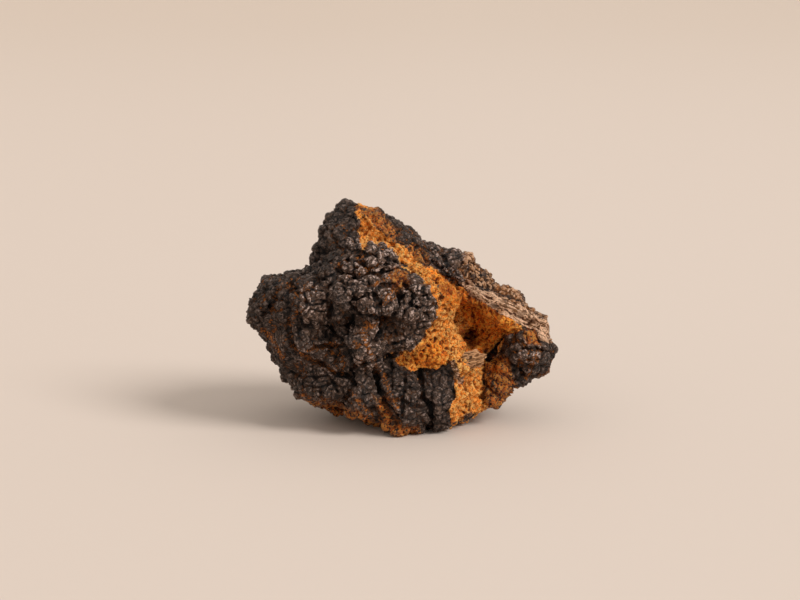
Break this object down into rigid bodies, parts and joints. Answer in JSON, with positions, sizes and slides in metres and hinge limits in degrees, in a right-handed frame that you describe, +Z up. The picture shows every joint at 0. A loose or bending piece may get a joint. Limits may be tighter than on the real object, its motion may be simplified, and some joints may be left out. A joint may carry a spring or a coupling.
{
  "type": "chaga mushroom",
  "caption": "Lump of dried chaga with a black, cracked, knobbly crust, broken open to a rust-orange corky inside, resting on a small flat foot.",
  "frame": {"origin": "on the ground under the middle of the lump's box", "axes": "+Z up, +X along the lump's length towards the broken, tan side, -Y out of the front face with the open orange hollow"},
  "size_m": [0.111, 0.064, 0.0789],
  "materials": {
    "chaga": "matte, charred-looking crust over orange-brown cork"
  },
  "bodies": {
    "root": {"chaga_lump": "chaga"}
  },
  "joints": []
}
